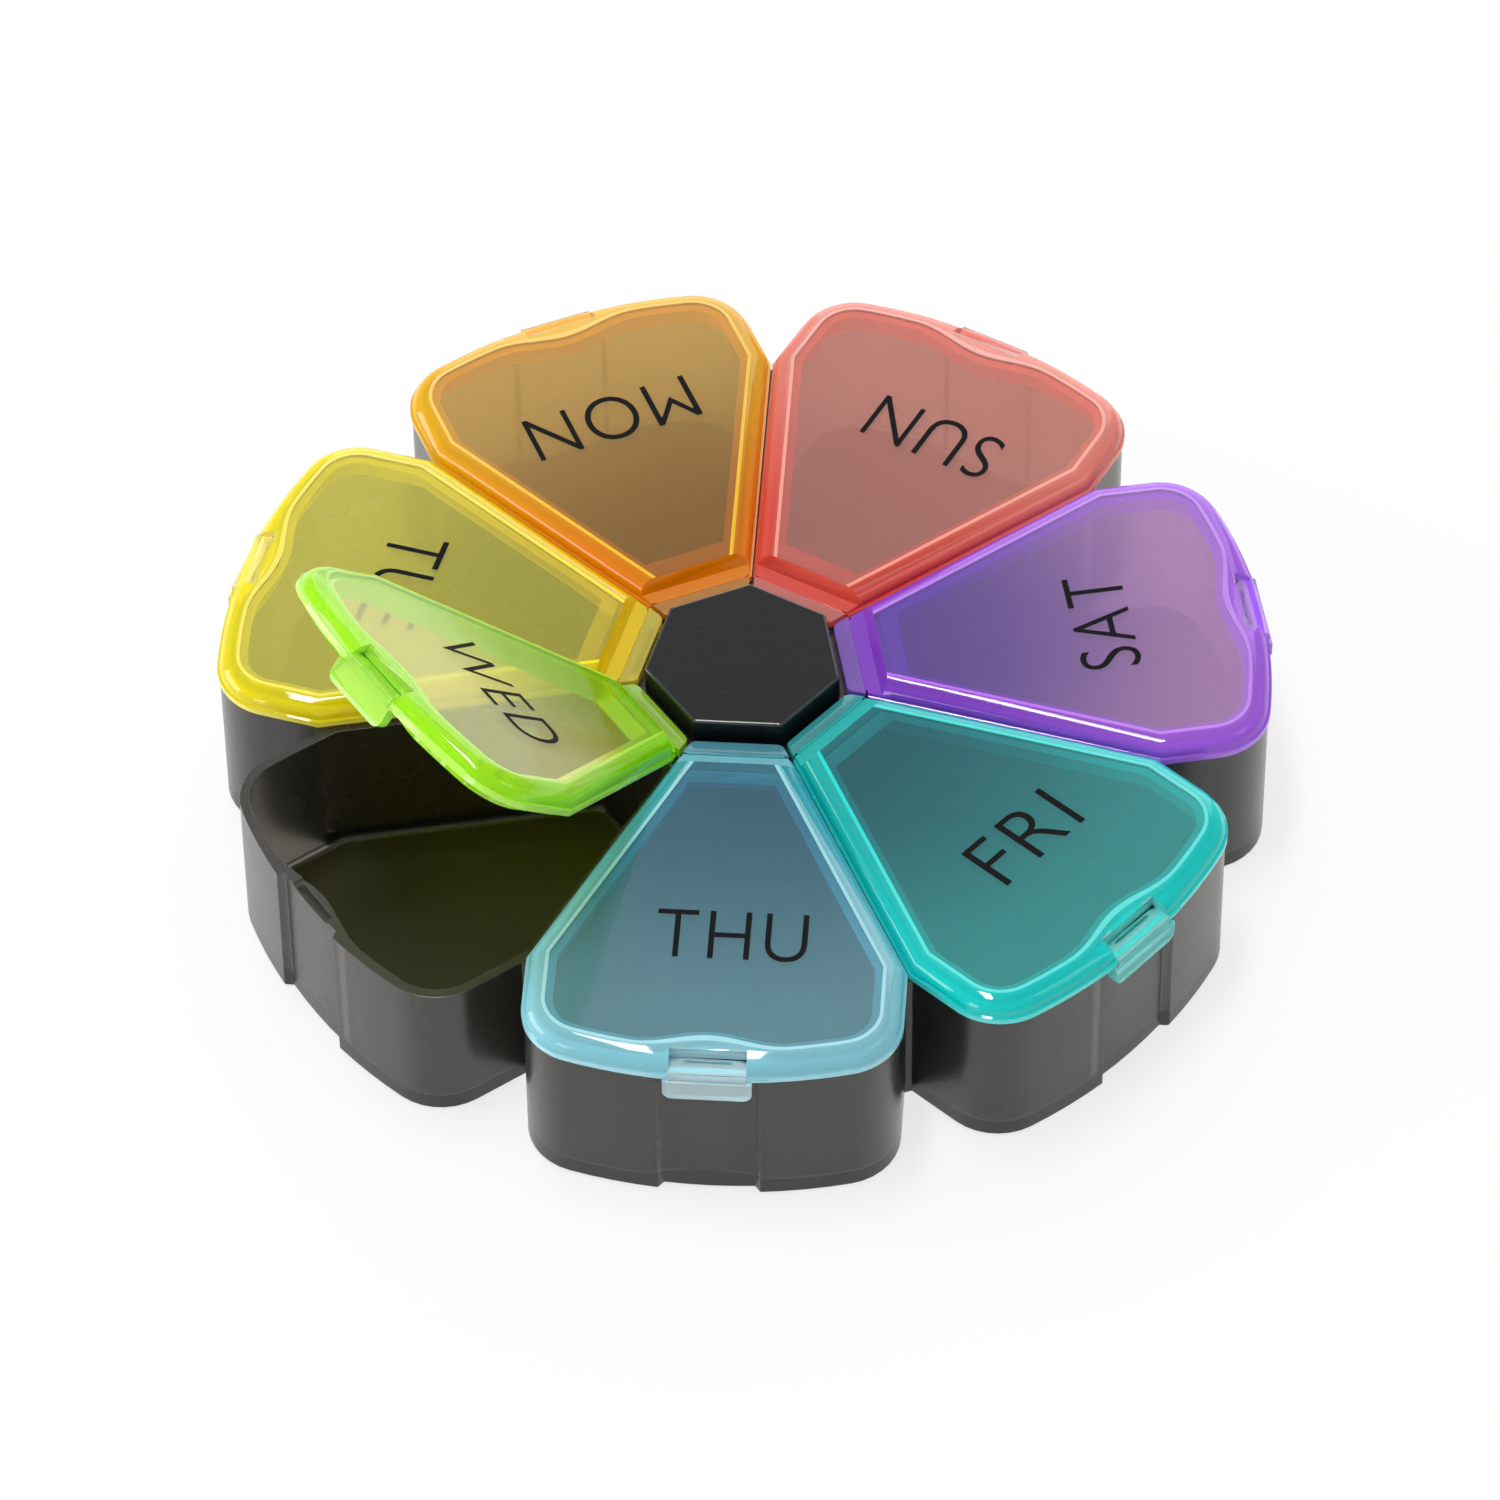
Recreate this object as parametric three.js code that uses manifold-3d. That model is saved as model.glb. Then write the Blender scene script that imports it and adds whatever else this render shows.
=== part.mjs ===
// Flower-shaped weekly pill organizer: a tray of seven petal compartments round a seven-sided hub,
// with a hinged lid over each compartment. Millimetres, +Z up, the hub's axis is Z and the tray
// stands on Z = 0. Each petal is drawn with its own axis along +X.
import * as THREE from 'three';
import { mergeVertices } from 'three/addons/utils/BufferGeometryUtils.js';
import Module from 'manifold-3d';

const wasm = await Module();
wasm.setup();

// Driving dimensions of the whole organizer
const clearance = 0.3;            // between pieces that seat on or beside each other
const overrun = 1;                // how far a cutting shape runs past the surface it opens
const rimHeight = 24.2;           // table to the top of the tray's walls

// Driving dimensions of a lid
const lidRadius = 74.5;           // hub axis to the round outer end
const partingRun = 19.4;          // round outer end to where neighbouring petals part
const lidCornerRadius = 9;
const lidSlit = 0.6;              // between neighbouring lids
const lidWall = 1.1;
const lidEdgeHeight = 0.9;        // upright edge under the rounded shoulder
const lidEdgeStep = 0.35;         // small ledge between that edge and the shoulder
const shoulderWidth = 3.3;        // edge of the lid to its flat top
const lidTopRise = 1.8;           // hinge axis to the flat top
const hubLedgeRun = 2;            // hinge axis to the foot of the slope beside it
const hubLedgeFall = 0.15;        // the ledge falls toward the hinge
const hubSlopeRun = 1.1;          // that slope, along the petal
const skirtDepth = 1.1;           // plug skirt below the tray's rim

// Driving dimensions of the hinge
const hingeRadius = 16.4;         // hub axis to the hinge axis
const hingeRise = 1.6;            // underside of a lid to the hinge axis
const stripWidth = 2.6;           // hinge axis to the hub side of a hinge strip
const stripFall = 0.3;            // top of a strip, from the hinge to its hub side
const stripCornerRadius = 1.2;
const stripKneeShares = { run: 0.3, fall: 0.4 };
const tongueThickness = 1;
const tongueDepth = 3;            // tongue below the rim
const tongueLength = 9;

// Driving dimensions of the lid's tab
const tabWidth = 10.6;
const tabLipWidth = 12.2;
const tabThickness = 1.2;
const tabProud = 0.2;             // outer face of the tab beyond the lid's round end
const tabLipProud = 0.3;          // the lip beyond the tab
const tabDepth = 3.3;             // tab below the underside of the lid
const tabRise = 0.8;              // hinge axis to the top of the tab
const tabReach = 3.5;             // tab under the shoulder, from the lid's round end
const tabFlankRun = 3;            // curved flank beside the tab
const tabCornerRadius = 1.4;
const hookWidth = 6.7;
const hookThickness = 0.5;
const hookDepth = 1.2;            // hook rib below the rim

// Driving dimensions of the tray
const trayInset = 0.3;            // the tray's outer wall inside the lid's edge
const wall = 1.5;
const sharedWall = 1.8;           // between two compartments
const floorThickness = 1.5;
const floorFillet = 1.2;
const footChamfer = 0.5;          // bottom outer edge
const notchDepth = 13.7;          // outer end of a lid to the web that closes a notch
const cellHubRun = 2.6;           // hinge axis to the inner end of a compartment
const cellHubCorner = 2;
const recessHalfWidth = 7.1;      // panel set back in the outer wall
const recessDepth = 1.1;
const recessJog = 0.8;            // width of its slanted side
const bulgeDepth = 2.2;           // the wall swells inward behind the panel
const bulgeHalfWidth = 11;
const catchLip = 0.4;             // wall outside the catch slot
const catchLedgeHalfWidth = 4.4;  // lowered rim round the slot
const catchLedgeDepth = 0.4;

// Driving dimensions of the hub
const capGap = 1.05;              // between the cap and the hinge strips
const capHeight = 4.15;           // above its own lower edge
const capWall = 1.2;
const capChamfer = 0.3;
const wellInset = 3.25;           // flat of the cap to the hollow of the hub block
const plugDepth = 4;              // cap plug below the rim

// Places worked out from these
const petalCount = 7;
const pitch = 2 * Math.PI / petalCount;
const halfPitch = pitch / 2;
const lidUnderside = rimHeight + clearance;
const hingeHeight = lidUnderside + hingeRise;
const lidTop = hingeHeight + lidTopRise;
const edgeTop = lidUnderside + lidEdgeHeight;
const shoulderFoot = edgeTop + lidEdgeStep / 2;
const lidHalfWidth = (lidRadius - partingRun) * Math.tan(halfPitch) - lidSlit / 2 / Math.cos(halfPitch);
const hingeGap = clearance;
const stripInner = hingeRadius - stripWidth;
const capApothem = stripInner - capGap;
const wellApothem = capApothem - wellInset;
const cellHub = hingeRadius + cellHubRun;
const webRadius = lidRadius - notchDepth;
const channelCentre = (stripInner + hingeRadius) / 2;
const channelHalfWidth = tongueThickness / 2 + clearance;
const recessFloor = lidRadius - trayInset - recessDepth;
const bulgeFace = lidRadius - trayInset - wall - bulgeDepth;
const slotReach = hookThickness / 2 + clearance;
const hookCentre = recessFloor - catchLip - slotReach;
const openAngle = THREE.MathUtils.degToRad(40);

// Petals in order round the hub, starting with the one toward -Y
const firstPetalAngle = -Math.PI / 2;
const petals = [
  { day: 'thursday', colour: '#63b4cc', opening: 0 },
  { day: 'friday', colour: '#00b4af', opening: 0 },
  { day: 'saturday', colour: '#9655c8', opening: 0 },
  { day: 'sunday', colour: '#e15a4b', opening: 0 },
  { day: 'monday', colour: '#e18c14', opening: 0 },
  { day: 'tuesday', colour: '#f5d700', opening: 0 },
  { day: 'wednesday', colour: '#8cd714', opening: openAngle },
];

// Solids from closed geometries, and geometries from solids
function solid(geometry) {
  const bare = geometry.clone();
  bare.deleteAttribute('normal');
  bare.deleteAttribute('uv');
  const merged = mergeVertices(bare);
  return new wasm.Manifold(new wasm.Mesh({
    numProp: 3,
    vertProperties: new Float32Array(merged.attributes.position.array),
    triVerts: new Uint32Array(merged.index.array),
  }));
}

function namedMesh(name, body, material) {
  const { vertProperties, triVerts } = body.getMesh();
  const geometry = new THREE.BufferGeometry();
  geometry.setAttribute('position', new THREE.BufferAttribute(new Float32Array(vertProperties), 3));
  geometry.setIndex(new THREE.BufferAttribute(new Uint32Array(triVerts), 1));
  geometry.computeVertexNormals();
  const mesh = new THREE.Mesh(geometry, material);
  mesh.name = name;
  return mesh;
}

// Closed body through outlines of equal point counts, listed from the lowest to the highest
function loft(rings) {
  const count = rings[0].outline.length;
  const positions = [];
  for (const ring of rings) {
    for (const point of ring.outline) {
      positions.push(point.x, point.y, ring.z);
    }
  }
  const index = [];
  for (let level = 0; level < rings.length - 1; level += 1) {
    for (let i = 0; i < count; i += 1) {
      const next = (i + 1) % count;
      const low = level * count;
      const high = low + count;
      index.push(low + i, low + next, high + next, low + i, high + next, high + i);
    }
  }
  const top = (rings.length - 1) * count;
  for (const [a, b, c] of THREE.ShapeUtils.triangulateShape(rings[0].outline, [])) {
    index.push(a, c, b);
  }
  for (const [a, b, c] of THREE.ShapeUtils.triangulateShape(rings.at(-1).outline, [])) {
    index.push(top + a, top + b, top + c);
  }
  const geometry = new THREE.BufferGeometry();
  geometry.setAttribute('position', new THREE.Float32BufferAttribute(positions, 3));
  geometry.setIndex(index);
  return solid(geometry);
}

function prism(outline, low, high) {
  return loft([{ outline, z: low }, { outline, z: high }]);
}

// Plate whose outline is drawn across the petal and up, standing between two distances from the hub
function uprightPlate(shape, inner, outer) {
  const depth = outer - inner;
  const geometry = new THREE.ExtrudeGeometry(shape, { depth, bevelEnabled: false, curveSegments: 4 });
  geometry.rotateX(Math.PI / 2);
  geometry.rotateZ(Math.PI / 2);
  geometry.translate(inner, 0, 0);
  return solid(geometry);
}

function arcPoints(centre, radius, from, to, segments) {
  const points = [];
  for (let i = 0; i <= segments; i += 1) {
    const angle = from + (to - from) * i / segments;
    points.push(new THREE.Vector2(centre.x + radius * Math.cos(angle), centre.y + radius * Math.sin(angle)));
  }
  return points;
}

function rectangle(halfWidth, low, high) {
  return new THREE.Shape([
    new THREE.Vector2(-halfWidth, low),
    new THREE.Vector2(halfWidth, low),
    new THREE.Vector2(halfWidth, high),
    new THREE.Vector2(-halfWidth, high),
  ]);
}

function mirrored(half) {
  const other = half.map((point) => new THREE.Vector2(point.x, -point.y));
  return [...other, ...half.slice(0, -1).reverse()];
}

// Outline of a petal: a wedge from the hub that turns parallel at the shoulders and ends in a round
// arc about the hub, which a dip can draw inward in the middle
function roundEnd({ halfWidth, radius, corner, endAngle }, segments) {
  const centre = new THREE.Vector2(
    Math.sqrt((radius - corner) ** 2 - (halfWidth - corner) ** 2),
    halfWidth - corner,
  );
  const meet = Math.atan2(centre.y, centre.x);
  const hubAxis = new THREE.Vector2(0, 0);
  return [
    ...arcPoints(centre, corner, Math.PI / 2, meet, segments.corner),
    ...arcPoints(hubAxis, radius, meet, endAngle, segments.end).slice(1),
  ];
}

function dipped(point, dip) {
  const reach = Math.min(Math.abs(point.y) / bulgeHalfWidth, 1);
  const depth = dip * (1 + Math.cos(Math.PI * reach)) / 2;
  const distance = point.length();
  return point.clone().multiplyScalar((distance - depth) / distance);
}

function petalOutline({ halfWidth, radius, corner, side, hub, hubCorner = 0, dip = 0 }) {
  const sideShift = side / Math.cos(halfPitch);
  const shoulder = (halfWidth + sideShift) / Math.tan(halfPitch);
  const end = roundEnd({ halfWidth, radius, corner, endAngle: 0 }, { corner: 6, end: 7 });
  let start = [new THREE.Vector2(hub, hub * Math.tan(halfPitch) - sideShift)];
  if (hubCorner > 0) {
    const centreX = hub + hubCorner;
    const centreY = (centreX * Math.sin(halfPitch) - side - hubCorner) / Math.cos(halfPitch);
    start = arcPoints(new THREE.Vector2(centreX, centreY), hubCorner, Math.PI, Math.PI / 2 + halfPitch, 3);
  }
  const half = [...start, new THREE.Vector2(shoulder, halfWidth), ...end.map((point) => dipped(point, dip))];
  half.at(-1).y = 0;
  return mirrored(half);
}

function lidOutline(inset, hub, dip = 0) {
  return petalOutline({
    halfWidth: lidHalfWidth - inset,
    radius: lidRadius - inset,
    corner: lidCornerRadius - inset,
    side: lidSlit / 2 + inset,
    hub,
    dip,
  });
}

function heptagon(apothem) {
  const radius = apothem / Math.cos(halfPitch);
  const points = [];
  for (let i = 0; i < petalCount; i += 1) {
    const angle = firstPetalAngle + halfPitch + i * pitch;
    points.push(new THREE.Vector2(radius * Math.cos(angle), radius * Math.sin(angle)));
  }
  return points;
}

// Lid: a thin shell with a rounded shoulder, a low ledge and a short slope beside the hinge, a plug
// skirt inside the compartment's wall, and a tab with a hook rib at its round end
function hubFace(z) {
  if (z < hingeHeight) {
    return hingeRadius + hingeGap / 2;
  }
  return hingeRadius + hubLedgeRun + (z - hingeHeight) * hubSlopeRun / lidTopRise;
}

function shoulderShare(z) {
  const rise = Math.max(0, z - shoulderFoot) / (lidTop - shoulderFoot);
  return 1 - Math.sqrt(Math.max(0, 1 - rise * rise));
}

function lidShell() {
  const heights = [hingeHeight - hubLedgeFall, hingeHeight];
  const steps = 4;
  for (let i = 0; i <= steps; i += 1) {
    heights.push(shoulderFoot + (lidTop - shoulderFoot) * Math.sin(Math.PI / 2 * i / steps));
  }
  heights.sort((a, b) => a - b);
  const rings = [lidUnderside, edgeTop].map((z) => ({ outline: lidOutline(0, hubFace(z)), z }));
  for (const z of heights) {
    const share = shoulderShare(z);
    const inset = lidEdgeStep + (shoulderWidth - lidEdgeStep) * share;
    rings.push({ outline: lidOutline(inset, hubFace(z), bulgeDepth * share), z });
  }
  return loft(rings);
}

function lidHollow() {
  const mouth = lidOutline(lidWall, hubFace(hingeHeight) + lidWall);
  const rings = [{ outline: mouth, z: lidUnderside - overrun }];
  const steps = 2;
  const ceiling = lidTop - lidWall;
  for (let i = 0; i <= steps; i += 1) {
    const turn = Math.PI / 2 * i / steps;
    const inset = lidWall + shoulderWidth * (1 - Math.cos(turn));
    const z = edgeTop + (ceiling - edgeTop) * Math.sin(turn);
    const dip = bulgeDepth * (1 - Math.cos(turn));
    rings.push({ outline: lidOutline(inset, hubFace(Math.max(z, hingeHeight)) + lidWall, dip), z });
  }
  return loft(rings);
}

function lidSkirt() {
  const inset = trayInset + wall + clearance;
  const low = rimHeight - skirtDepth;
  const ceiling = lidTop - lidWall;
  const outer = prism(lidOutline(inset, cellHub + clearance, bulgeDepth), low, ceiling + lidWall / 2);
  const inner = prism(
    lidOutline(inset + lidWall, cellHub + clearance + lidWall, bulgeDepth),
    low - overrun,
    lidTop,
  );
  return outer.subtract(inner);
}

// The tab is a block under the shoulder that comes through it, flanked by curved webs, with a lip below
function lidTab(shell) {
  const outer = lidRadius + tabProud;
  const top = hingeHeight + tabRise;
  const halfWidth = tabWidth / 2;
  const block = uprightPlate(rectangle(halfWidth, lidUnderside, lidTop), lidRadius - tabReach, outer);
  const plate = uprightPlate(
    rectangle(halfWidth, lidUnderside - clearance, top),
    outer - tabThickness,
    outer,
  );
  const flankEnd = halfWidth + tabFlankRun;
  const flankFoot = lidUnderside + lidEdgeHeight / 2;
  const flanks = new THREE.Shape();
  flanks.moveTo(-flankEnd, flankFoot);
  flanks.lineTo(flankEnd, flankFoot);
  flanks.quadraticCurveTo(halfWidth, flankFoot, halfWidth, top);
  flanks.lineTo(-halfWidth, top);
  flanks.quadraticCurveTo(-halfWidth, flankFoot, -flankEnd, flankFoot);
  const hubAxis = new THREE.Vector2(0, 0);
  const roundFace = prism([hubAxis, ...arcPoints(hubAxis, outer, -halfPitch, halfPitch, 24)], 0, lidTop);
  const web = uprightPlate(flanks, outer - tabThickness, outer + overrun).intersect(roundFace);
  const half = tabLipWidth / 2;
  const bottom = lidUnderside - tabDepth;
  const down = 1.5 * Math.PI;
  const lip = new THREE.Shape();
  lip.moveTo(-half, lidUnderside);
  lip.lineTo(-half, bottom + tabCornerRadius);
  lip.absarc(-half + tabCornerRadius, bottom + tabCornerRadius, tabCornerRadius, Math.PI, down, false);
  lip.absarc(half - tabCornerRadius, bottom + tabCornerRadius, tabCornerRadius, down, 2 * Math.PI, false);
  lip.lineTo(half, lidUnderside);
  const lipBody = uprightPlate(lip, outer - tabThickness, outer + tabLipProud);
  return block.intersect(shell).add(plate).add(web).add(lipBody);
}

function lidHook() {
  return uprightPlate(
    rectangle(hookWidth / 2, rimHeight - hookDepth, lidTop - lidWall),
    hookCentre - hookThickness / 2,
    hookCentre + hookThickness / 2,
  );
}

function lidBody() {
  const shell = lidShell();
  return shell.subtract(lidHollow()).add(lidSkirt()).add(lidTab(shell)).add(lidHook());
}

// Hinge strip: the fixed half of the lid's moulding, with a tongue that sits in the hub's channel
function stripBody() {
  const outer = hingeRadius - hingeGap / 2;
  const side = lidSlit / 2;
  const sideShift = side / Math.cos(halfPitch);
  const centreX = stripInner + stripCornerRadius;
  const centreY = (centreX * Math.sin(halfPitch) - side - stripCornerRadius) / Math.cos(halfPitch);
  const corner = new THREE.Vector2(centreX, centreY);
  const half = [
    new THREE.Vector2(stripInner, 0),
    ...arcPoints(corner, stripCornerRadius, Math.PI, Math.PI / 2 + halfPitch, 4),
    new THREE.Vector2(outer, outer * Math.tan(halfPitch) - sideShift),
  ].reverse();
  const outline = mirrored(half).reverse();
  const width = outer - stripInner;
  const innerTop = hingeHeight - stripFall;
  const knee = hingeHeight - stripFall * stripKneeShares.fall;
  const crown = new THREE.Shape([
    new THREE.Vector2(stripInner - overrun, lidUnderside),
    new THREE.Vector2(outer, lidUnderside),
    new THREE.Vector2(outer, hingeHeight),
    new THREE.Vector2(stripInner + width * stripKneeShares.run, knee),
    new THREE.Vector2(stripInner, innerTop),
    new THREE.Vector2(stripInner - overrun, innerTop),
  ]);
  const length = 2 * outer;
  const profile = new THREE.ExtrudeGeometry(crown, { depth: length, bevelEnabled: false });
  profile.rotateX(Math.PI / 2);
  profile.translate(0, length / 2, 0);
  const top = prism(outline, lidUnderside, lidTop).intersect(solid(profile));
  const tongue = uprightPlate(
    rectangle(tongueLength / 2, rimHeight - tongueDepth, innerTop),
    channelCentre - tongueThickness / 2,
    channelCentre + tongueThickness / 2,
  );
  return top.add(tongue);
}

// Tray: petal walls and webs outside, seven compartments, and the hub block with its well and the
// channel for the hinge strips
function trayOutline(inset) {
  const halfWidth = lidHalfWidth - trayInset - inset;
  const radius = lidRadius - trayInset - inset;
  const corner = lidCornerRadius - trayInset - inset;
  const webEnd = (webRadius - inset - halfWidth * Math.sin(halfPitch)) / Math.cos(halfPitch);
  const edge = Math.asin(recessHalfWidth / radius);
  const floorRadius = radius - recessDepth;
  const floorEdge = Math.asin((recessHalfWidth - recessJog) / floorRadius);
  const hubAxis = new THREE.Vector2(0, 0);
  const half = [
    new THREE.Vector2(webEnd, halfWidth),
    ...roundEnd({ halfWidth, radius, corner, endAngle: edge }, { corner: 7, end: 4 }),
    ...arcPoints(hubAxis, floorRadius, floorEdge, 0, 2),
  ];
  const petal = mirrored(half);
  const outline = [];
  for (let i = 0; i < petalCount; i += 1) {
    const angle = firstPetalAngle + i * pitch;
    outline.push(...petal.map((point) => point.clone().rotateAround(hubAxis, angle)));
  }
  return outline;
}

function cellOutline(inset) {
  const depth = trayInset + wall + inset;
  return petalOutline({
    halfWidth: lidHalfWidth - depth,
    radius: lidRadius - depth,
    corner: lidCornerRadius - depth,
    side: sharedWall / 2 + inset,
    hub: cellHub + inset,
    hubCorner: cellHubCorner,
    dip: bulgeDepth,
  });
}

function cellBody() {
  const rings = [];
  const steps = 3;
  for (let i = 0; i <= steps; i += 1) {
    const turn = Math.PI / 2 * i / steps;
    const z = floorThickness + floorFillet * (1 - Math.cos(turn));
    rings.push({ outline: cellOutline(floorFillet * (1 - Math.sin(turn))), z });
  }
  rings.push({ outline: cellOutline(0), z: rimHeight + overrun });
  return loft(rings);
}

// The slot that takes a lid's hook rib, in a lowered stretch of the rim
function catchSlot() {
  const slot = uprightPlate(
    rectangle(hookWidth / 2 + clearance, rimHeight - hookDepth - clearance, rimHeight + overrun),
    hookCentre - slotReach,
    hookCentre + slotReach,
  );
  const ledge = uprightPlate(
    rectangle(catchLedgeHalfWidth, rimHeight - catchLedgeDepth, rimHeight + overrun),
    bulgeFace - overrun,
    lidRadius,
  );
  return slot.add(ledge);
}

function trayBody() {
  let body = loft([
    { outline: trayOutline(footChamfer), z: 0 },
    { outline: trayOutline(0), z: footChamfer },
    { outline: trayOutline(0), z: rimHeight },
  ]);
  const cuts = cellBody().add(catchSlot());
  for (let i = 0; i < petalCount; i += 1) {
    const angle = THREE.MathUtils.radToDeg(firstPetalAngle + i * pitch);
    body = body.subtract(cuts.rotate([0, 0, angle]));
  }
  const channelFloor = rimHeight - tongueDepth - clearance;
  const channelIsland = prism(heptagon(channelCentre - channelHalfWidth), channelFloor - overrun, lidTop);
  const channel = prism(heptagon(channelCentre + channelHalfWidth), channelFloor, rimHeight + overrun)
    .subtract(channelIsland);
  const well = prism(heptagon(wellApothem), floorThickness, rimHeight + overrun);
  return body.subtract(channel).subtract(well);
}

// Hub cap: a seven-sided cap with a plug ring inside the hub's well
function capBody() {
  const low = rimHeight + clearance;
  const top = low + capHeight;
  const shell = loft([
    { outline: heptagon(capApothem), z: low },
    { outline: heptagon(capApothem), z: top - capChamfer },
    { outline: heptagon(capApothem - capChamfer), z: top },
  ]);
  const hollow = prism(heptagon(capApothem - capWall), low - overrun, top - capWall);
  const plugApothem = wellApothem - clearance;
  const plug = prism(heptagon(plugApothem), rimHeight - plugDepth, top - capWall / 2)
    .subtract(prism(heptagon(plugApothem - capWall), rimHeight - plugDepth - overrun, top));
  return shell.subtract(hollow).add(plug);
}

// Materials and assembly
const blackPlastic = { color: '#303030', roughness: 0.45, metalness: 0 };
const organizer = new THREE.Group();
organizer.add(namedMesh('tray', trayBody(), new THREE.MeshStandardMaterial(blackPlastic)));
organizer.add(namedMesh('hub_cap', capBody(), new THREE.MeshStandardMaterial(blackPlastic)));

const lidSolid = lidBody().translate([-hingeRadius, 0, -hingeHeight]);
const stripSolid = stripBody();
petals.forEach(({ day, colour, opening }, i) => {
  const petal = new THREE.Group();
  petal.rotation.z = firstPetalAngle + i * pitch;
  const translucent = { color: colour, roughness: 0.25, metalness: 0, transparent: true, opacity: 0.7 };
  petal.add(namedMesh(`hinge_strip_${day}`, stripSolid, new THREE.MeshStandardMaterial(translucent)));
  const hinge = new THREE.Group();
  hinge.position.set(hingeRadius, 0, hingeHeight);
  hinge.rotation.y = -opening;
  hinge.add(namedMesh(`lid_${day}`, lidSolid, new THREE.MeshStandardMaterial(translucent)));
  petal.add(hinge);
  organizer.add(petal);
});

export default organizer;
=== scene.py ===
import math

import bpy
from mathutils import Matrix, Vector


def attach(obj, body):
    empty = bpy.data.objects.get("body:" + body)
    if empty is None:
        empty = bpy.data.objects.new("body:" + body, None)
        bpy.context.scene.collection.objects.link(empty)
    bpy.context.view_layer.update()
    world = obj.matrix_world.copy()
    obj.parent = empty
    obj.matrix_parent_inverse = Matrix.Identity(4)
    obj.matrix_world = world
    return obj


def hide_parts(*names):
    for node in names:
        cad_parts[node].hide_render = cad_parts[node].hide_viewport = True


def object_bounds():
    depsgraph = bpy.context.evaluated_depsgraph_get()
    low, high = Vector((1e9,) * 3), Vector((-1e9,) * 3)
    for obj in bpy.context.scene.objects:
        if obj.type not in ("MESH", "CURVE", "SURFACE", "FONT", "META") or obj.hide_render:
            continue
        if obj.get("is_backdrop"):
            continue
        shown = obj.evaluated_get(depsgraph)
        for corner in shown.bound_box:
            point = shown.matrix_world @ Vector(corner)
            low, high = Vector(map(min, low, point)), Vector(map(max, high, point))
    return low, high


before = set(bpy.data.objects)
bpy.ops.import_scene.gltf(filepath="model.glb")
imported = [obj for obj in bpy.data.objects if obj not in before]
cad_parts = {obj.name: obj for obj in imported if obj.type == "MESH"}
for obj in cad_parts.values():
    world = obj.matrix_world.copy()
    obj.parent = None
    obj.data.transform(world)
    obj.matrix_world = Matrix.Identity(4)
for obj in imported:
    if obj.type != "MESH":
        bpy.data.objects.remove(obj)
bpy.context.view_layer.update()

# Camera
# A long lens looks down at the organizer from the front, with the Thursday petal toward it, as in
# the photograph. It aims at a point just in front of the hub, at the height of the lids.
camera_azimuth = math.radians(4.33)
camera_elevation = math.radians(48.32)
camera_roll = math.radians(-0.66)
camera_distance = 1.2104
camera_aim = Vector((0.00185, -0.01446, 0.0251))
camera_data = bpy.data.cameras.new("camera")
camera_data.lens = 207.3
camera_data.sensor_width = 36
camera_data.clip_start = 0.05
camera_data.clip_end = 20
camera = bpy.data.objects.new("camera", camera_data)
bpy.context.scene.collection.objects.link(camera)
bpy.context.scene.camera = camera
camera_back = Vector((
    math.sin(camera_azimuth) * math.cos(camera_elevation),
    -math.cos(camera_azimuth) * math.cos(camera_elevation),
    math.sin(camera_elevation),
))
camera.location = camera_aim + camera_back * camera_distance
camera.rotation_mode = "QUATERNION"
camera.rotation_quaternion = (
    (-camera_back).to_track_quat("-Z", "Y").to_matrix() @ Matrix.Rotation(camera_roll, 3, "Z")
).to_quaternion()

# Tray
# One moulding in black polypropylene with a satin skin: seven compartments round a hub. Its walls are
# thin enough to let some of a white surround through. Its floor is as thin, but gets an opaque black of
# its own: painted shade, standing in for the dark beneath the tray. Sharp edges are slightly broken.
MM = 0.001
merge_distance = 0.002 * MM
same_plane = math.radians(0.5)
sharp_above = math.radians(35)
smooth_below = math.radians(32)


def deselect_all():
    """Leaves nothing selected, so that what is added next is selected alone."""
    for item in bpy.context.selected_objects:
        item.select_set(False)


def copy_of_node(node, name):
    """A merged copy of a construction solid, ready for finer edges."""
    piece = bpy.data.objects.new(name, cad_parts[node].data.copy())
    bpy.context.scene.collection.objects.link(piece)
    deselect_all()
    piece.select_set(True)
    bpy.context.view_layer.objects.active = piece
    bpy.ops.object.mode_set(mode="EDIT")
    bpy.ops.mesh.select_all(action="SELECT")
    bpy.ops.mesh.remove_doubles(threshold=merge_distance)
    bpy.ops.mesh.dissolve_limited(angle_limit=same_plane)
    bpy.ops.object.mode_set(mode="OBJECT")
    return piece


def break_edges(piece, width, steps=2):
    """Rounds every sharp edge of the piece, and smooths the rest."""
    bevel = piece.modifiers.new("broken edges", "BEVEL")
    bevel.width = width
    bevel.segments = steps
    bevel.limit_method = "ANGLE"
    bevel.angle_limit = sharp_above
    bpy.context.view_layer.objects.active = piece
    bpy.ops.object.modifier_apply(modifier=bevel.name)
    deselect_all()
    piece.select_set(True)
    bpy.ops.object.shade_smooth_by_angle(angle=smooth_below)
    flatten = piece.modifiers.new("flat faces stay flat", "WEIGHTED_NORMAL")
    flatten.keep_sharp = True
    bpy.ops.object.modifier_apply(modifier=flatten.name)


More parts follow.
